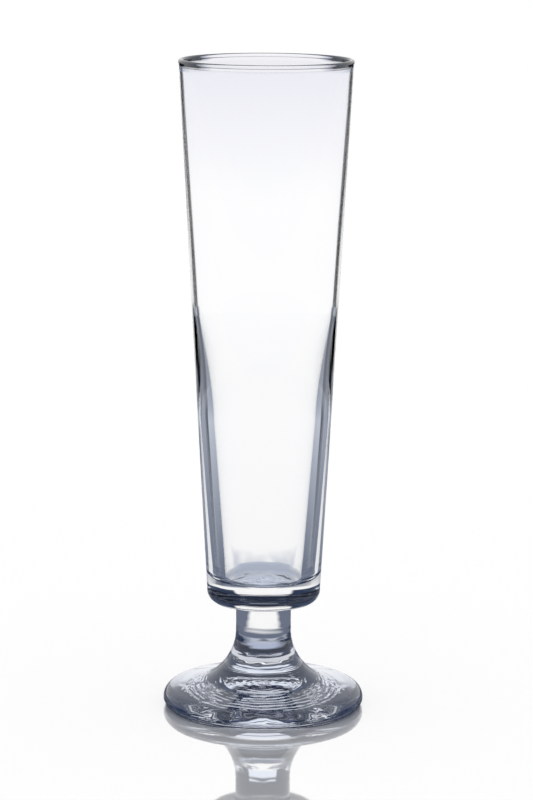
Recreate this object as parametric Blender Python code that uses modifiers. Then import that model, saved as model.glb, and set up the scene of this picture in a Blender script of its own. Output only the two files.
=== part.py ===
"""Sling glass: a tall tapered bowl with a stepped wall and a thick solid base, on a short stem and a heavy foot.

Three gathers of glass are turned about the Z axis and stuck end to end: bowl, stem and foot.
Run with: blender --background --python part.py
"""

import math

import bpy

# Driving dimensions in metres
# Heights, stacked from the table upward
FOOT_HEIGHT = 0.0260
STEM_LENGTH = 0.0081
BOWL_HEIGHT = 0.1837
WELD_GAP = 0.0003

# Bowl, outside
RIM_RADIUS = 0.0290
BASE_RADIUS = 0.0190
BASE_CORNER_RADIUS = 0.0039
BOSS_FILLET_RADIUS = 0.0016

# Bowl, wall and cavity, with heights above the bowl's underside
LIP_BEAD_RADIUS = 0.00085
LIP_BLEND_LENGTH = 0.0016
RIM_WALL = 0.00125
SHOULDER_HEIGHT = 0.1037
SHOULDER_WALL = 0.0019
SHOULDER_DROP = 0.0390
LOWER_WALL = 0.0052
BASE_WALL = 0.0065
FLOOR_THICKNESS = 0.0079
FLOOR_CORNER_RADIUS = 0.0028

# Stem
STEM_RADIUS = 0.0094

# Foot
FOOT_RADIUS = 0.0341
EDGE_HEIGHT = 0.0027
EDGE_TOP_RADIUS = 0.0038
FLARE_SPREAD = 0.0120
FLARE_END_HEIGHT = 0.0087
FLARE_NECK_PULL = 0.0090
FLARE_FOOT_PULL = 0.0045
STANDING_RING_WIDTH = 0.0060

# Hollow under the foot: a shallow rise inside the standing ring, then a low dome in the middle
HOLLOW_RISE = 0.0010
DOME_RADIUS = 0.0095
DOME_RISE = 0.0020
DOME_FILLET_RADIUS = 0.0030

# Fineness of the turned surfaces
TURN_STEPS = 64
ARC_STEPS = 6
CURVE_STEPS = 12
MERGE_DISTANCE = 0.00001

# How far the lip's bead wraps below its own middle, in degrees
LIP_WRAP = 30.0

# Share of the underside's width that its two fillets may take
FILLET_SHARE = 0.9

GLASS_COLOUR = (0.92, 0.94, 0.96, 1.0)
GLASS_ROUGHNESS = 0.02
GLASS_IOR = 1.52

# Levels that follow from the stacked heights
STEM_BOTTOM = FOOT_HEIGHT + WELD_GAP
STEM_TOP = STEM_BOTTOM + STEM_LENGTH
BOSS_BOTTOM = STEM_TOP + WELD_GAP


def clear_scene():
    """Remove every object that the file opens with."""
    for item in list(bpy.data.objects):
        bpy.data.objects.remove(item, do_unlink=True)


def arc(centre, radius, start, end, steps=ARC_STEPS):
    """Points of a circular arc in the (radius, height) plane, from one angle in degrees to another."""
    points = []
    for step in range(steps + 1):
        angle = math.radians(start + (end - start) * step / steps)
        points.append((centre[0] + radius * math.cos(angle), centre[1] + radius * math.sin(angle)))
    return points


def curve(start, start_handle, end_handle, end, steps=CURVE_STEPS):
    """Points of a cubic curve that leaves start towards its handle and reaches end from its own."""
    points = []
    for step in range(steps + 1):
        t = step / steps
        weights = ((1 - t) ** 3, 3 * t * (1 - t) ** 2, 3 * t * t * (1 - t), t ** 3)
        corners = (start, start_handle, end_handle, end)
        points.append(tuple(sum(w * c[axis] for w, c in zip(weights, corners)) for axis in (0, 1)))
    return points


def tangent_angle(point, centre, radius):
    """Angle in degrees on a circle where a straight line from an inner point above touches its top."""
    across = point[0] - centre[0]
    up = point[1] - centre[1]
    toward_point = math.atan2(up, across)
    return math.degrees(toward_point - math.acos(radius / math.hypot(across, up)))


def bowl_fillets():
    """The base corner and the boss fillet, held to the width of the underside between them."""
    room = FILLET_SHARE * (BASE_RADIUS - STEM_RADIUS)
    shrink = min(1.0, room / (BASE_CORNER_RADIUS + BOSS_FILLET_RADIUS))
    return BASE_CORNER_RADIUS * shrink, BOSS_FILLET_RADIUS * shrink


def bowl_profile():
    """Half section of the bowl: floor, inner wall, lip, outer wall, base corner, underside and boss."""
    corner, fillet = bowl_fillets()
    underside = BOSS_BOTTOM + fillet
    rim = underside + BOWL_HEIGHT
    taper = (RIM_RADIUS - BASE_RADIUS) / BOWL_HEIGHT
    lean = math.degrees(math.atan(taper))

    def outer(height):
        return BASE_RADIUS + taper * (height - underside)

    # Cavity from its floor to the foot of the shoulder
    floor = underside + FLOOR_THICKNESS
    corner_top = floor + FLOOR_CORNER_RADIUS
    base_inner = outer(corner_top) - BASE_WALL
    shoulder_top = underside + SHOULDER_HEIGHT
    shoulder_bottom = shoulder_top - SHOULDER_DROP
    shoulder_inner = outer(shoulder_bottom) - LOWER_WALL
    lower_slope = (shoulder_inner - base_inner) / (shoulder_bottom - corner_top)
    points = [(0.0, floor)]
    points += arc((base_inner - FLOOR_CORNER_RADIUS, corner_top), FLOOR_CORNER_RADIUS, -90, 0)

    # Shoulder, where the thick lower wall runs out into the thin upper one
    lip_centre_height = rim - LIP_BEAD_RADIUS
    wall_top = lip_centre_height - LIP_BLEND_LENGTH
    thin_inner = outer(shoulder_top) - SHOULDER_WALL
    rim_inner = outer(wall_top) - RIM_WALL
    upper_slope = (rim_inner - thin_inner) / (wall_top - shoulder_top)
    pull = SHOULDER_DROP / 3
    points += curve(
        (shoulder_inner, shoulder_bottom),
        (shoulder_inner + lower_slope * pull, shoulder_bottom + pull),
        (thin_inner - upper_slope * pull, shoulder_top - pull),
        (thin_inner, shoulder_top),
    )

    # Lip: a bead a little thicker than the wall under it
    lip_centre = outer(lip_centre_height) - RIM_WALL / 2
    points.append((rim_inner, wall_top))
    points += arc((lip_centre, lip_centre_height), LIP_BEAD_RADIUS, 180 + LIP_WRAP, -LIP_WRAP, 2 * ARC_STEPS)
    points.append((outer(wall_top), wall_top))

    # Outer wall down to the rounded base corner, then the boss that the stem is stuck to
    corner_centre = outer(underside + corner) - corner / math.cos(math.radians(lean))
    points += arc((corner_centre, underside + corner), corner, -lean, -90)
    points += arc((STEM_RADIUS + fillet, BOSS_BOTTOM), fillet, 90, 180)
    points.append((0.0, BOSS_BOTTOM))
    return points


def stem_profile():
    """Half section of the stem: a plain drawn cylinder between its two welds."""
    return [(0.0, STEM_TOP), (STEM_RADIUS, STEM_TOP), (STEM_RADIUS, STEM_BOTTOM), (0.0, STEM_BOTTOM)]


def foot_profile():
    """Half section of the foot: neck, trumpet flare, sloping top, round edge, standing ring and hollow."""
    edge_centre = (FOOT_RADIUS - EDGE_TOP_RADIUS, EDGE_HEIGHT)
    flare_end = (STEM_RADIUS + FLARE_SPREAD, FLARE_END_HEIGHT)
    touch = tangent_angle(flare_end, edge_centre, EDGE_TOP_RADIUS)
    slope = math.radians(90 - touch)
    flare_handle = (
        flare_end[0] - FLARE_FOOT_PULL * math.cos(slope),
        flare_end[1] + FLARE_FOOT_PULL * math.sin(slope),
    )
    points = [(0.0, FOOT_HEIGHT)]
    points += curve(
        (STEM_RADIUS, FOOT_HEIGHT),
        (STEM_RADIUS, FOOT_HEIGHT - FLARE_NECK_PULL),
        flare_handle,
        flare_end,
    )

    # Round edge, fuller above its widest line than below it
    points += arc(edge_centre, EDGE_TOP_RADIUS, touch, 0)
    ring_outer = FOOT_RADIUS - EDGE_HEIGHT
    points += arc((ring_outer, EDGE_HEIGHT), EDGE_HEIGHT, 0, -90)[1:]

    # Underside: a flat ring to stand on, a shallow hollow inside it and a low dome in the middle
    dome_tilt = 2 * math.atan(DOME_RISE / DOME_RADIUS)
    fillet_centre = (DOME_RADIUS + DOME_FILLET_RADIUS * math.sin(dome_tilt), HOLLOW_RISE + DOME_FILLET_RADIUS)
    hollow_outer = ring_outer - STANDING_RING_WIDTH
    hollow_inner = fillet_centre[0]
    pull = (hollow_outer - hollow_inner) / 3
    points += curve(
        (hollow_outer, 0.0),
        (hollow_outer - pull, HOLLOW_RISE / 2),
        (hollow_inner + pull, HOLLOW_RISE),
        (hollow_inner, HOLLOW_RISE),
        ARC_STEPS,
    )
    tilt = math.degrees(dome_tilt)
    points += arc(fillet_centre, DOME_FILLET_RADIUS, -90, -90 - tilt)[1:]
    dome_edge_height = points[-1][1]
    sphere_radius = DOME_RADIUS / math.sin(dome_tilt)
    sphere_centre = (0.0, dome_edge_height + DOME_RISE - sphere_radius)
    points += arc(sphere_centre, sphere_radius, 90 - tilt, 90, CURVE_STEPS)[1:-1]
    points.append((0.0, dome_edge_height + DOME_RISE))
    return points


def glass_material(name):
    """Clear soda-lime glass, one material for each gather."""
    material = bpy.data.materials.new(name)
    material.use_nodes = True
    shader = material.node_tree.nodes["Principled BSDF"]
    shader.inputs["Base Color"].default_value = GLASS_COLOUR
    shader.inputs["Roughness"].default_value = GLASS_ROUGHNESS
    shader.inputs["Metallic"].default_value = 0.0
    shader.inputs["IOR"].default_value = GLASS_IOR
    shader.inputs["Transmission Weight"].default_value = 1.0
    return material


def turn(name, profile, collection):
    """Turn a half section about the Z axis into one closed solid."""
    mesh = bpy.data.meshes.new(name)
    vertices = [(radius, 0.0, height) for radius, height in profile]
    edges = [(index, index + 1) for index in range(len(profile) - 1)]
    mesh.from_pydata(vertices, edges, [])
    mesh.materials.append(glass_material(name + "_glass"))
    item = bpy.data.objects.new(name, mesh)
    collection.objects.link(item)
    screw = item.modifiers.new("Turn", 'SCREW')
    screw.axis = 'Z'
    screw.angle = math.tau
    screw.steps = TURN_STEPS
    screw.render_steps = TURN_STEPS
    screw.use_merge_vertices = True
    screw.merge_threshold = MERGE_DISTANCE
    screw.use_smooth_shade = True
    return item


def build():
    """Build the glass from its three gathers."""
    clear_scene()
    collection = bpy.data.collections.new("sling_glass")
    bpy.context.scene.collection.children.link(collection)
    turn("bowl", bowl_profile(), collection)
    turn("stem", stem_profile(), collection)
    turn("foot", foot_profile(), collection)


build()
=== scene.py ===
import math

import bmesh
import bpy
from mathutils import Matrix, Vector, noise


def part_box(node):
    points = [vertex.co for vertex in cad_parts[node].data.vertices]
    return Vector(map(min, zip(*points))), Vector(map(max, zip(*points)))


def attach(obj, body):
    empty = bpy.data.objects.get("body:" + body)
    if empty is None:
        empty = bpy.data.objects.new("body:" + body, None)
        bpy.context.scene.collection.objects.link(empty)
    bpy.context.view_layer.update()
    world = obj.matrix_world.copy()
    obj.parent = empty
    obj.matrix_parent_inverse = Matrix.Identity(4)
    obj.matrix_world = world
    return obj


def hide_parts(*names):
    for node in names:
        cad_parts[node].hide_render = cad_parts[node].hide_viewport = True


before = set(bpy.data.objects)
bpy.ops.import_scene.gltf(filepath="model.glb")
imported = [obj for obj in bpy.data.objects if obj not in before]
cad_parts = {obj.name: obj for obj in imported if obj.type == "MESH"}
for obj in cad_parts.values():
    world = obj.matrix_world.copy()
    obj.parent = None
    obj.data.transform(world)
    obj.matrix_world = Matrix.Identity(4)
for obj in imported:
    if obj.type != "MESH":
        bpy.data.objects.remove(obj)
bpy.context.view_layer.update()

# Levels and radii read from the frame, in metres
BOWL_LOW, BOWL_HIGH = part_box("bowl")
STEM_LOW, STEM_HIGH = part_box("stem")
FOOT_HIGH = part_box("foot")[1]
RIM_TOP = BOWL_HIGH[2]
NECK = FOOT_HIGH[2]
STEM_RADIUS = STEM_HIGH[0]
FOOT_RADIUS = FOOT_HIGH[0]
UPPER_WELD = (BOWL_LOW[2] + STEM_HIGH[2]) / 2
LOWER_WELD = (STEM_LOW[2] + FOOT_HIGH[2]) / 2
WELDS = (UPPER_WELD, LOWER_WELD)

# Bowl, outside
BOSS_FILLET = 0.0016
UNDERSIDE = BOWL_LOW[2] + BOSS_FILLET
RIM_RADIUS = 0.0290
BASE_RADIUS = 0.0190
BASE_CORNER = 0.0039
TAPER = (RIM_RADIUS - BASE_RADIUS) / (RIM_TOP - UNDERSIDE)

# Bowl, lip, wall and cavity
LIP_BEAD = 0.00085
LIP_BLEND = 0.0016
LIP_WRAP = 30.0
LIP_LEVEL = RIM_TOP - LIP_BEAD
WALL_TOP = LIP_LEVEL - LIP_BLEND
RIM_WALL = 0.00125
SHOULDER_HEIGHT = 0.1037
SHOULDER_TOP = UNDERSIDE + SHOULDER_HEIGHT
SHOULDER_DROP = 0.0390
SHOULDER_WALL = 0.0019
LOWER_WALL = 0.0052
BASE_WALL = 0.0065
FLOOR_THICKNESS = 0.0079
FLOOR_CORNER = 0.0028
INNER_FLOOR = UNDERSIDE + FLOOR_THICKNESS

# Foot, from its neck to its edge
FLARE_SPREAD = 0.0120
FLARE_END = 0.0087
FLARE_NECK_PULL = 0.0090
FLARE_FOOT_PULL = 0.0045
EDGE_TOP = 0.0038
EDGE_HEIGHT = 0.0027

# Foot, underside: standing ring, shallow hollow and low dome
RING_OUTER = FOOT_RADIUS - EDGE_HEIGHT
RING_WIDTH = 0.0060
RING_INNER = RING_OUTER - RING_WIDTH
HOLLOW_RISE = 0.0010
DOME_RADIUS = 0.0095
DOME_RISE = 0.0020
DOME_FILLET = 0.0030
DOME_TILT = 2 * math.atan(DOME_RISE / DOME_RADIUS)

# Marks of pressing, tooling and chilling: how far apart they lie and how high they stand
PRESS_RING_PITCH = 0.0019
PRESS_RING_HEIGHT = 0.00005
PRESS_SPOT_SIZE = 0.0025
PRESS_SPOT_HEIGHT = 0.00005
PRESS_FADE = 0.0015
NECK_RING_PITCH = 0.0024
NECK_RING_HEIGHT = 0.00004
NECK_RING_END = 0.0120
STEM_RING_SHARE = 0.1
STEM_RING_FADE = 0.0020
STREAK_WIDTH = 0.0060
STREAK_LENGTH = 0.0500
STREAK_HEIGHT = 0.00001
STREAK_FADE = 0.0040
SHAM_TOP = INNER_FLOOR + FLOOR_CORNER
SHAM_FADE = 0.0060
SHAM_RING_PITCH = 0.0042
SHAM_RING_HEIGHT = 0.00003
SHAM_SPOT_SIZE = 0.0040
SHAM_SPOT_HEIGHT = 0.00004
FLOOR_RING_GAIN = 2.0
FLOOR_TILT = 30.0
WELD_FADE = 0.0008

# How uneven the marks are: a ring's wander in radians, the wander's size, and finer spots among the spots
RING_WANDER = 2.5
WANDER_SIZE = 0.0042
RING_UNEVEN = 0.4
FINE_SPOTS = 2.3
FINE_SHARE = 0.6

# Fineness of the turned surfaces
TURN_STEPS = 192
ARC_STEPS = 14
CURVE_STEPS = 40
WALL_STEPS = 40
STEM_STEPS = 16
FLOOR_STEPS = 20
HOLLOW_STEPS = 64
MERGE_DISTANCE = 1e-6
SHARP_ANGLE = 60.0


def linear(code):
    """An sRGB hex colour as linear red, green, blue and alpha."""
    parts = [int(code[i:i + 2], 16) / 255 for i in (1, 3, 5)]
    return [c / 12.92 if c <= 0.04045 else ((c + 0.055) / 1.055) ** 2.4 for c in parts] + [1.0]


def node(tree, kind, inputs=None, **settings):
    """Add a node with its settings; an input takes a value or another node's socket."""
    made = tree.nodes.new(kind)
    for name, value in settings.items():
        setattr(made, name, value)
    for name, value in (inputs or {}).items():
        if isinstance(value, bpy.types.NodeSocket):
            tree.links.new(value, made.inputs[name])
        else:
            made.inputs[name].default_value = value
    return made


def arc(centre, radius, start, end, steps=ARC_STEPS):
    """Points of a circular arc in the (radius, height) plane, from one angle in degrees to another."""
    points = []
    for step in range(steps + 1):
        angle = math.radians(start + (end - start) * step / steps)
        points.append((centre[0] + radius * math.cos(angle), centre[1] + radius * math.sin(angle)))
    return points


def curve(start, start_handle, end_handle, end, steps=CURVE_STEPS):
    """Points of a cubic curve that leaves start towards its handle and reaches end from its own."""
    points = []
    for step in range(steps + 1):
        t = step / steps
        weights = ((1 - t) ** 3, 3 * t * (1 - t) ** 2, 3 * t * t * (1 - t), t ** 3)
        corners = (start, start_handle, end_handle, end)
        points.append(tuple(sum(w * c[axis] for w, c in zip(weights, corners)) for axis in (0, 1)))
    return points


def straight(start, end, steps):
    """Points along a straight stretch, without its two ends."""
    points = []
    for step in range(1, steps):
        share = step / steps
        points.append(tuple(a + (b - a) * share for a, b in zip(start, end)))
    return points


def outer(height):
    """Radius of the bowl's tapered outer wall at a height."""
    return BASE_RADIUS + TAPER * (height - UNDERSIDE)


def bowl_section():
    """Half section of the bowl: floor, stepped inner wall, lip, outer wall, base corner and boss."""
    lean = math.degrees(math.atan(TAPER))
    corner_top = INNER_FLOOR + FLOOR_CORNER
    base_inner = outer(corner_top) - BASE_WALL
    shoulder_bottom = SHOULDER_TOP - SHOULDER_DROP
    shoulder_inner = outer(shoulder_bottom) - LOWER_WALL
    lower_slope = (shoulder_inner - base_inner) / (shoulder_bottom - corner_top)
    floor_corner = arc((base_inner - FLOOR_CORNER, corner_top), FLOOR_CORNER, -90, 0)
    points = [(0.0, INNER_FLOOR)]
    points += straight(points[0], floor_corner[0], FLOOR_STEPS)
    points += floor_corner
    points += straight(floor_corner[-1], (shoulder_inner, shoulder_bottom), WALL_STEPS)

    # Shoulder, where the thick lower wall runs out into the thin upper one
    thin_inner = outer(SHOULDER_TOP) - SHOULDER_WALL
    rim_inner = outer(WALL_TOP) - RIM_WALL
    upper_slope = (rim_inner - thin_inner) / (WALL_TOP - SHOULDER_TOP)
    pull = SHOULDER_DROP / 3
    points += curve(
        (shoulder_inner, shoulder_bottom),
        (shoulder_inner + lower_slope * pull, shoulder_bottom + pull),
        (thin_inner - upper_slope * pull, SHOULDER_TOP - pull),
        (thin_inner, SHOULDER_TOP),
    )
    points += straight((thin_inner, SHOULDER_TOP), (rim_inner, WALL_TOP), WALL_STEPS)

    # Lip, outer wall and base corner, then the boss that the stem is fused to
    points.append((rim_inner, WALL_TOP))
    lip_centre = (outer(LIP_LEVEL) - RIM_WALL / 2, LIP_LEVEL)
    points += arc(lip_centre, LIP_BEAD, 180 + LIP_WRAP, -LIP_WRAP, 2 * ARC_STEPS)
    points.append((outer(WALL_TOP), WALL_TOP))
    corner_radius = outer(UNDERSIDE + BASE_CORNER) - BASE_CORNER / math.cos(math.radians(lean))
    base_corner = arc((corner_radius, UNDERSIDE + BASE_CORNER), BASE_CORNER, -lean, -90)
    points += straight(points[-1], base_corner[0], 2 * WALL_STEPS)
    points += base_corner
    boss = arc((STEM_RADIUS + BOSS_FILLET, UNDERSIDE - BOSS_FILLET), BOSS_FILLET, 90, 180)
    points += straight(base_corner[-1], boss[0], FLOOR_STEPS)
    points += boss
    points += [(STEM_RADIUS, UPPER_WELD), (0.0, UPPER_WELD)]
    return points


def stem_section():
    """Half section of the stem between its two welds."""
    top, bottom = (STEM_RADIUS, UPPER_WELD), (STEM_RADIUS, LOWER_WELD)
    return [(0.0, UPPER_WELD), top] + straight(top, bottom, STEM_STEPS) + [bottom, (0.0, LOWER_WELD)]


def foot_section():
    """Half section of the foot: neck, trumpet flare, round edge, standing ring, hollow and dome."""
    edge_centre = (FOOT_RADIUS - EDGE_TOP, EDGE_HEIGHT)
    flare_end = (STEM_RADIUS + FLARE_SPREAD, FLARE_END)
    across, up = flare_end[0] - edge_centre[0], flare_end[1] - edge_centre[1]
    touch = math.degrees(math.atan2(up, across) - math.acos(EDGE_TOP / math.hypot(across, up)))
    slope = math.radians(90 - touch)
    points = [(0.0, LOWER_WELD), (STEM_RADIUS, LOWER_WELD)]
    points += curve(
        (STEM_RADIUS, NECK),
        (STEM_RADIUS, NECK - FLARE_NECK_PULL),
        (flare_end[0] - FLARE_FOOT_PULL * math.cos(slope), flare_end[1] + FLARE_FOOT_PULL * math.sin(slope)),
        flare_end,
        2 * CURVE_STEPS,
    )
    edge = arc(edge_centre, EDGE_TOP, touch, 0)
    points += straight(flare_end, edge[0], FLOOR_STEPS)
    points += edge
    points += arc((RING_OUTER, EDGE_HEIGHT), EDGE_HEIGHT, 0, -90)[1:]

    # Underside, from the standing ring in to the middle of the dome
    fillet_centre = (DOME_RADIUS + DOME_FILLET * math.sin(DOME_TILT), HOLLOW_RISE + DOME_FILLET)
    hollow_inner = fillet_centre[0]
    pull = (RING_INNER - hollow_inner) / 3
    points += curve(
        (RING_INNER, 0.0),
        (RING_INNER - pull, HOLLOW_RISE / 2),
        (hollow_inner + pull, HOLLOW_RISE),
        (hollow_inner, HOLLOW_RISE),
        HOLLOW_STEPS,
    )
    tilt = math.degrees(DOME_TILT)
    points += arc(fillet_centre, DOME_FILLET, -90, -90 - tilt)[1:]
    dome_top = points[-1][1] + DOME_RISE
    sphere = DOME_RADIUS / math.sin(DOME_TILT)
    points += arc((0.0, dome_top - sphere), sphere, 90 - tilt, 90, CURVE_STEPS)[1:-1]
    points.append((0.0, dome_top))
    return points


def ramp_up(value, low, high):
    """Zero below low, one above high and a straight ramp between them."""
    return min(1.0, max(0.0, (value - low) / (high - low)))


def uneven_ring(place, pitch, point):
    """Ups and downs of rings a pitch apart, wandering a little from point to point."""
    return math.sin(math.tau * place / pitch + RING_WANDER * noise.noise(point / WANDER_SIZE))


def bowl_marks(vert):
    """Height of the marks on the bowl: faint streaks up the wall, chill rings and spots on the thick base.

    The inner floor, where the surface faces up by more than a tilt, has rings alone, and higher ones.
    """
    point = vert.co
    streak = Vector((point.x / STREAK_WIDTH, point.y / STREAK_WIDTH, point.z / STREAK_LENGTH))
    streak_share = ramp_up(WALL_TOP - point.z, 0.0, STREAK_FADE)
    wall = streak_share * STREAK_HEIGHT * noise.noise(streak)
    ring = SHAM_RING_HEIGHT * uneven_ring(math.hypot(point.x, point.y), SHAM_RING_PITCH, point)
    spot = SHAM_SPOT_HEIGHT * noise.noise(point / SHAM_SPOT_SIZE)
    on_floor = vert.normal.z > math.sin(math.radians(FLOOR_TILT))
    sham = FLOOR_RING_GAIN * ring if on_floor else ring + spot
    share = ramp_up(point.z, SHAM_TOP, SHAM_TOP + SHAM_FADE)
    return share * wall + (1 - share) * sham


def neck_marks(vert):
    """Height of the tool's rings round the neck of the foot, nearly smoothed out on the stem."""
    point = vert.co
    stem = ramp_up(point.z, NECK - STEM_RING_FADE / 2, NECK + STEM_RING_FADE / 2)
    fade = ramp_up(point.z, NECK_RING_END, NECK) * (1 - (1 - STEM_RING_SHARE) * stem)
    return fade * NECK_RING_HEIGHT * uneven_ring(point.z, NECK_RING_PITCH, point)


def foot_marks(vert):
    """Height of the marks on the foot: tool rings down the neck, uneven press rings and spots underneath."""
    if vert.normal.z > 0:
        return neck_marks(vert)
    point = vert.co
    radius = math.hypot(point.x, point.y)
    strength = 1 - RING_UNEVEN + RING_UNEVEN * noise.noise(point / WANDER_SIZE)
    ring = PRESS_RING_HEIGHT * strength * uneven_ring(radius, PRESS_RING_PITCH, point)
    spot = point / PRESS_SPOT_SIZE
    spots = PRESS_SPOT_HEIGHT * (noise.noise(spot) + FINE_SHARE * noise.noise(spot * FINE_SPOTS))
    return ramp_up(RING_INNER - radius, 0.0, PRESS_FADE) * (ring + spots)


def work_surface(bm, marks):
    """Raise each point along its normal by the height of the marks there; the welds stay as they are."""
    moves = []
    for vert in bm.verts:
        gap = min(abs(vert.co.z - weld) for weld in WELDS)
        moves.append(vert.normal * marks(vert) * ramp_up(gap, 0.0, WELD_FADE))
    for vert, move in zip(bm.verts, moves):
        vert.co += move


def turned(name, section, marks, materials):
    """Spin a half section into a closed piece and mark its surface; welded faces take the second material."""
    bm = bmesh.new()
    verts = [bm.verts.new((radius, 0.0, height)) for radius, height in section]
    for a, b in zip(verts, verts[1:]):
        bm.edges.new((a, b))
    bmesh.ops.spin(
        bm, geom=bm.verts[:] + bm.edges[:], cent=(0, 0, 0), axis=(0, 0, 1), dvec=(0, 0, 0),
        angle=math.tau, steps=TURN_STEPS, use_merge=True, use_normal_flip=False, use_duplicate=False,
    )
    bmesh.ops.remove_doubles(bm, verts=bm.verts, dist=MERGE_DISTANCE)
    bmesh.ops.recalc_face_normals(bm, faces=bm.faces)
    for face in bm.faces:
        heights = [vert.co.z for vert in face.verts]
        if any(max(abs(z - weld) for z in heights) < MERGE_DISTANCE for weld in WELDS):
            face.material_index = 1
    bm.normal_update()
    work_surface(bm, marks)
    mesh = bpy.data.meshes.new(name)
    bm.to_mesh(mesh)
    bm.free()
    mesh.shade_smooth()
    mesh.set_sharp_from_angle(angle=math.radians(SHARP_ANGLE))
    for material in materials:
        mesh.materials.append(material)
    piece = bpy.data.objects.new(name, mesh)
    bpy.context.scene.collection.objects.link(piece)
    return piece


# Colours of the glass: clear, then painted shade in steel blue and navy where the lip is edge on, and a
# painted grey shade under the rim
WHITE = "#FFFFFF"
EDGE_SHADE_STEEL = "#99A0B0"
EDGE_SHADE_NAVY = "#03050A"
LIP_SHADE_FACING = (0.25, 0.33, 0.40)
LIP_BOTTOM = (RIM_TOP - 2 * LIP_BEAD - LIP_BLEND / 2, RIM_TOP - 2 * LIP_BEAD)
# Painted grey shade under the rim: its colour and the height where it starts
RIM_SHADE = "#F6F6FA"
RIM_SHADE_BOTTOM = 0.175
GLASS_IOR = 1.52
FACING_BLEND = 0.5


def share_between(tree, value, ends):
    """Zero to one as a value goes from the first end to the second."""
    ranged = node(tree, "ShaderNodeMapRange", {"Value": value, "From Min": ends[0], "From Max": ends[1]})
    return ranged.outputs[0]


def blend(tree, share, first, second, how='MIX'):
    """Colour that goes from the first to the second with a share."""
    colours = {"Fac": share, "Color1": first, "Color2": second}
    return node(tree, "ShaderNodeMixRGB", colours, blend_type=how).outputs[0]


def ramp_colour(tree, value, stops):
    """Colour along a ramp of stops, each a position from zero to one and a hex colour."""
    ramp = node(tree, "ShaderNodeValToRGB", {"Fac": value})
    elements = ramp.color_ramp.elements
    middle = 0.5
    while len(elements) < len(stops):
        elements.new(middle)
    for element, (position, code) in zip(elements, stops):
        element.position = position
        element.color = linear(code)
    return ramp.outputs["Color"]


def painted_glass_shade(tree):
    """Colour of the glass: painted dark shade where the lip is edge on, a faint painted grey shade under the
    rim, clear below.
    """
    facing = node(tree, "ShaderNodeLayerWeight", {"Blend": FACING_BLEND}).outputs["Facing"]
    place = node(tree, "ShaderNodeTexCoord").outputs["Object"]
    height = node(tree, "ShaderNodeSeparateXYZ", {0: place}).outputs["Z"]
    # Painted dark shade round the lip, where it is seen edge on
    edge = ramp_colour(tree, facing, tuple(zip(LIP_SHADE_FACING, (WHITE, EDGE_SHADE_STEEL, EDGE_SHADE_NAVY))))
    lip = blend(tree, share_between(tree, height, LIP_BOTTOM), linear(WHITE), edge)
    # Painted grey shade, deepest at the rim top
    painted_rim_shade = blend(tree, share_between(tree, height, (RIM_SHADE_BOTTOM, RIM_TOP)), linear(WHITE), linear(RIM_SHADE))
    return blend(tree, 1.0, lip, painted_rim_shade, 'MULTIPLY')


def soda_lime_glass(name):
    """Clear soda-lime glass, fire polished: mirror smooth, with a faint painted grey shade under the rim and
    a painted dark line of shade round the lip.
    """
    material = bpy.data.materials.new(name)
    material.use_nodes = True
    tree = material.node_tree
    shader = tree.nodes["Principled BSDF"]
    shader.inputs["Roughness"].default_value = 0.0
    shader.inputs["IOR"].default_value = GLASS_IOR
    shader.inputs["Transmission Weight"].default_value = 1.0
    tree.links.new(painted_glass_shade(tree), shader.inputs["Base Color"])
    return material


def fused_joint():
    """The fused joint inside the glass, where two gathers are one body and nothing shows."""
    material = bpy.data.materials.new("fused_joint")
    material.use_nodes = True
    tree = material.node_tree
    tree.nodes.clear()
    see = node(tree, "ShaderNodeBsdfTransparent")
    node(tree, "ShaderNodeOutputMaterial", {"Surface": see.outputs[0]})
    return material


joint = fused_joint()
for name, section, marks, finish in (
    ("bowl", bowl_section(), bowl_marks, "fire_polished_blown_glass"),
    ("stem", stem_section(), neck_marks, "fire_polished_drawn_glass"),
    ("foot", foot_section(), foot_marks, "fire_polished_pressed_glass"),
):
    piece = turned("clear_" + name, section, marks, (soda_lime_glass(finish), joint))
    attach(piece, "root")
    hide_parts(name)

# Camera at the photograph's view
CAMERA_DISTANCE = 0.9792
CAMERA_HEIGHT = 0.2919
CAMERA_SIDE = 0.00064
CAMERA_TILT = 10.768
CAMERA_ROLL = 0.31
LENS = 133.3
SENSOR = 36.0

lens = bpy.data.cameras.new("camera")
lens.lens = LENS
lens.sensor_width = SENSOR
camera = bpy.data.objects.new("camera", lens)
bpy.context.scene.collection.objects.link(camera)
camera.matrix_world = (
    Matrix.Translation((CAMERA_SIDE, -CAMERA_DISTANCE, CAMERA_HEIGHT))
    @ Matrix.Rotation(math.radians(90 - CAMERA_TILT), 4, 'X')
    @ Matrix.Rotation(math.radians(CAMERA_ROLL), 4, 'Z')
)
bpy.context.scene.camera = camera

# Thresholds on a ray's counts: mirrored or passed at least once, and the four crossings of the whole bowl
ONCE = 0.5
WHOLE_BOWL = 3.5

# Degrees in half a turn, the full length of a ramp of bearings
HALF_TURN = 180.0

# Tones of the studio that only the glass shows: painted shade and painted light on the table, and the dim
# room
SLATE = "#8A92A2"
DIM_SLATE = "#6A7284"
DEEP_SLATE = "#2E3646"
DARK_GAP_SHADE = "#05070C"
SIDE_LIGHT = "#C8CEDA"
FAR_LIGHT = "#F0F2F6"
LOW_ROOM = "#2A364E"
MIDDLE_ROOM = "#405070"
DARK_ROOM = "#222B40"

# Room behind the glass: a white backdrop and, above a gap, a white panel, by bearing and rise.
# The rest is dim by rise, and the bowl as a whole shows white up to a rise of its own.
# Mirrored light takes a cool cast.
PANEL_ANGLE = (23.0, 20.0)
BACKDROP_TOP = (0.28, 0.24)
PANEL_BOTTOM = (0.34, 0.38)
PANEL_TOP = (0.75, 0.55)
ROOM_TONES = ((0.0, LOW_ROOM), (0.38, LOW_ROOM), (0.50, MIDDLE_ROOM), (0.60, DARK_ROOM))
BRIGHT_RISE = (0.48, 0.60)
COOL_LIGHT = "#E2E9F8"
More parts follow.
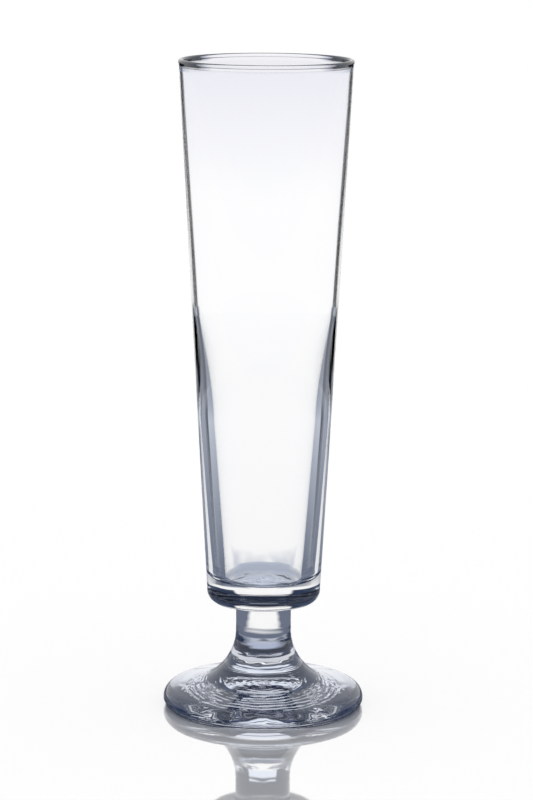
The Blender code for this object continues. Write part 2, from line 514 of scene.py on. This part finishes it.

# Table round the glass: a painted white strip of reflected backdrop towards the panel, and zones of painted
# shade and painted light by bearing from the panel.
# Each zone begins over a stretch of reach in metres; farther out the painted dark shade of the gap stands
# closer to the panel.
# Painted reflection strip of the backdrop: its half width and where it starts behind the glass
REFLECTION_STRIP_SIDE = (0.050, 0.036)
REFLECTION_STRIP_START = (0.065, 0.105)
PAINTED_TABLE_ZONES = (
    ((0.14, 0.38), ((0, SLATE), (26, SLATE), (33, DEEP_SLATE), (41, DEEP_SLATE), (44, SIDE_LIGHT))),
    ((0.43, 0.46), (
        (0, SLATE), (5, SLATE), (11, SIDE_LIGHT), (31, SIDE_LIGHT), (35, DEEP_SLATE), (44, DEEP_SLATE),
        (48, FAR_LIGHT),
    )),
    ((0.56, 0.60), ((0, WHITE), (24, WHITE), (26, DARK_GAP_SHADE), (40, DARK_GAP_SHADE), (43, FAR_LIGHT))),
)
DRIFT_REACH = (0.9, 1.5)
DRIFT_ANGLE = 10.0
WHITE_TABLE = (0.25, 0.32)
# Reach over which the painted grey shade seen through the whole bowl fades to white
SHAM_TABLE = (0.03, 0.16)

# Soft shade on the table close behind the glass: its tone, its reach and its bearing
SHADE = "#B0B8C8"
SHADE_REACH = (0.165, 0.20)
SHADE_ANGLE = (15.0, 25.0)

# Table under the foot, with painted shadow and light: its front, its back, the sides of its back and the
# middle under the dome
UNDER_FOOT = (0.034, 0.050)
UNDER_DEPTH = (0.004, 0.020)
UNDER_SIDE = (0.008, 0.016)
UNDER_DOME = (0.012, 0.008)
FRONT_SHADOW = "#0A1120"
BACK_SHADOW = "#1E2A42"
DOME_TONE = "#AAB4CC"
PALE_FRONT = "#C4CAD7"
PALE_BACK = "#E6E9F1"

# Table top
FLOOR_RADIUS = 6.0
FLOOR_SIDES = 64
FLOOR_DROP = 0.00002
FLOOR_GLOSS = 0.72
FLOOR_ROUGHNESS = 0.03


def calculate(tree, how, first, second=0.0):
    """Result of a sum on two numbers."""
    return node(tree, "ShaderNodeMath", {0: first, 1: second}, operation=how).outputs[0]


def ray_switches(tree):
    """One or zero for a ray that was mirrored, that passed a surface, that went through the whole bowl."""
    path = node(tree, "ShaderNodeLightPath")
    mirrored = calculate(tree, 'GREATER_THAN', path.outputs["Glossy Depth"], ONCE)
    passed = calculate(tree, 'GREATER_THAN', path.outputs["Transmission Depth"], ONCE)
    through = calculate(tree, 'GREATER_THAN', path.outputs["Transmission Depth"], WHOLE_BOWL)
    return mirrored, passed, through


def bearing(tree, vector):
    """Angle in degrees, seen from above, between a direction and the way to the panel behind the glass."""
    split = node(tree, "ShaderNodeSeparateXYZ", {0: vector})
    side = calculate(tree, 'ABSOLUTE', split.outputs["X"])
    return calculate(tree, 'DEGREES', calculate(tree, 'ARCTAN2', side, split.outputs["Y"]))


def studio_world():
    """White to the eye and on the floor; through the glass a white backdrop and panel in a dim room.

    Light that the glass or the table has mirrored is a little cooler.
    """
    world = bpy.data.worlds.new("studio")
    bpy.context.scene.world = world
    world.use_nodes = True
    tree = world.node_tree
    tree.nodes.clear()
    mirrored, passed, through = ray_switches(tree)
    way = node(tree, "ShaderNodeTexCoord").outputs["Generated"]
    rise = node(tree, "ShaderNodeSeparateXYZ", {0: way}).outputs["Z"]
    room = ramp_colour(tree, rise, ROOM_TONES)
    above_gap = share_between(tree, rise, PANEL_BOTTOM)
    panel = calculate(tree, 'MULTIPLY', above_gap, share_between(tree, rise, PANEL_TOP))
    white = calculate(tree, 'MAXIMUM', panel, share_between(tree, rise, BACKDROP_TOP))
    ahead = share_between(tree, bearing(tree, way), PANEL_ANGLE)
    seen = blend(tree, calculate(tree, 'MULTIPLY', white, ahead), room, linear(WHITE))
    beyond = blend(tree, share_between(tree, rise, BRIGHT_RISE), linear(WHITE), seen)
    cast = blend(tree, mirrored, linear(WHITE), linear(COOL_LIGHT))
    in_glass = blend(tree, 1.0, cast, blend(tree, through, seen, beyond), 'MULTIPLY')
    tone = blend(tree, passed, linear(WHITE), in_glass)
    background = node(tree, "ShaderNodeBackground", {"Color": tone, "Strength": 1.0})
    node(tree, "ShaderNodeOutputWorld", {"Surface": background.outputs[0]})


def painted_table_tones(tree, reach, angle):
    """Painted shade and light on the table by its reach from the glass and its bearing from the panel."""
    drift = calculate(tree, 'MULTIPLY', share_between(tree, reach, DRIFT_REACH), DRIFT_ANGLE)
    half_turns = calculate(tree, 'DIVIDE', calculate(tree, 'ADD', angle, drift), HALF_TURN)
    # Painted grey shade close to the glass, then the painted zones farther out
    colour = linear(DIM_SLATE)
    for start, stops in PAINTED_TABLE_ZONES:
        zone = ramp_colour(tree, half_turns, [(degrees / HALF_TURN, code) for degrees, code in stops])
        colour = blend(tree, share_between(tree, reach, start), colour, zone)
    return colour


def bowl_tones(tree, reach, angle):
    """Colour of the table through the whole bowl: white, painted grey shade close by and painted soft shade
    behind the glass.
    """
    open_table = blend(tree, share_between(tree, reach, SHAM_TABLE), linear(SLATE), linear(WHITE))
    beyond = share_between(tree, reach, SHADE_REACH)
    beside = share_between(tree, angle, SHADE_ANGLE)
    return blend(tree, calculate(tree, 'MAXIMUM', beyond, beside), linear(SHADE), open_table)


def painted_shade_under_foot(tree, reach, depth, side):
    """Painted shadow and light on the table under the foot, for rays that come straight and for rays mirrored
    in the glass.
    """
    back = share_between(tree, depth, UNDER_DEPTH)
    straight_seen = blend(tree, back, linear(PALE_FRONT), linear(PALE_BACK))
    far_half = blend(tree, share_between(tree, side, UNDER_SIDE), linear(BACK_SHADOW), linear(PALE_BACK))
    halves = blend(tree, back, linear(FRONT_SHADOW), far_half)
    mirror_seen = blend(tree, share_between(tree, reach, UNDER_DOME), halves, linear(DOME_TONE))
    return straight_seen, mirror_seen


def floor_material():
    """Glossy white table that keeps the shadow; the glass shows it glowing, grey with painted shade close by
    and white far behind.
    """
    material = bpy.data.materials.new("white_acrylic_table")
    material.use_nodes = True
    tree = material.node_tree
    tree.nodes.clear()
    mirrored, passed, through = ray_switches(tree)
    place = node(tree, "ShaderNodeTexCoord").outputs["Object"]
    reach = node(tree, "ShaderNodeVectorMath", {0: place}, operation='LENGTH').outputs["Value"]
    split = node(tree, "ShaderNodeSeparateXYZ", {0: place})
    depth = split.outputs["Y"]
    side = calculate(tree, 'ABSOLUTE', split.outputs["X"])
    angle = bearing(tree, place)

    # Table round and under the foot, for straight and for mirrored rays; a painted white strip of reflected
    # backdrop runs behind the glass
    along = calculate(
        tree, 'MULTIPLY', share_between(tree, side, REFLECTION_STRIP_SIDE), share_between(tree, depth, REFLECTION_STRIP_START)
    )
    around = blend(tree, along, painted_table_tones(tree, reach, angle), linear(WHITE))
    outside = share_between(tree, reach, UNDER_FOOT)
    # Painted shadow and light on the table under the foot
    under = painted_shade_under_foot(tree, reach, depth, side)
    plain, bent = (blend(tree, outside, seen, around) for seen in under)

    # Table as a wall of the glass or its base shows it, and as the whole bowl shows it
    wall = blend(tree, share_between(tree, reach, WHITE_TABLE), plain, linear(WHITE))
    bowl = bowl_tones(tree, reach, angle)
    turned_back = calculate(tree, 'GREATER_THAN', mirrored, through)
    tone = blend(tree, turned_back, blend(tree, through, wall, bowl), bent)
    # The table glows with its painted shade and light for rays that came by the glass or were mirrored
    painted_table_glow = node(tree, "ShaderNodeEmission", {"Color": tone, "Strength": 1.0})

    # Table as the eye sees it
    matt = node(tree, "ShaderNodeBsdfDiffuse", {"Color": linear(WHITE)})
    gloss = node(tree, "ShaderNodeBsdfGlossy", {"Color": linear(WHITE), "Roughness": FLOOR_ROUGHNESS})
    bare = node(tree, "ShaderNodeMixShader", {"Fac": FLOOR_GLOSS, 1: matt.outputs[0], 2: gloss.outputs[0]})
    glass = calculate(tree, 'MAXIMUM', mirrored, passed)
    surface = node(tree, "ShaderNodeMixShader", {"Fac": glass, 1: bare.outputs[0], 2: painted_table_glow.outputs[0]})
    node(tree, "ShaderNodeOutputMaterial", {"Surface": surface.outputs[0]})
    return material


def studio_floor():
    """Round table top, a hair below the standing ring."""
    bm = bmesh.new()
    bmesh.ops.create_circle(bm, cap_ends=True, segments=FLOOR_SIDES, radius=FLOOR_RADIUS)
    mesh = bpy.data.meshes.new("floor")
    bm.to_mesh(mesh)
    bm.free()
    mesh.materials.append(floor_material())
    floor = bpy.data.objects.new("floor", mesh)
    floor.location.z = -FLOOR_DROP
    bpy.context.scene.collection.objects.link(floor)


studio_world()
studio_floor()

# Enough bounces for light to cross both walls, the base and the foot
BOUNCES = 24
scene = bpy.context.scene
scene.view_settings.view_transform = 'Standard'
scene.cycles.max_bounces = BOUNCES
scene.cycles.transmission_bounces = BOUNCES
scene.cycles.glossy_bounces = BOUNCES
scene.cycles.transparent_max_bounces = BOUNCES
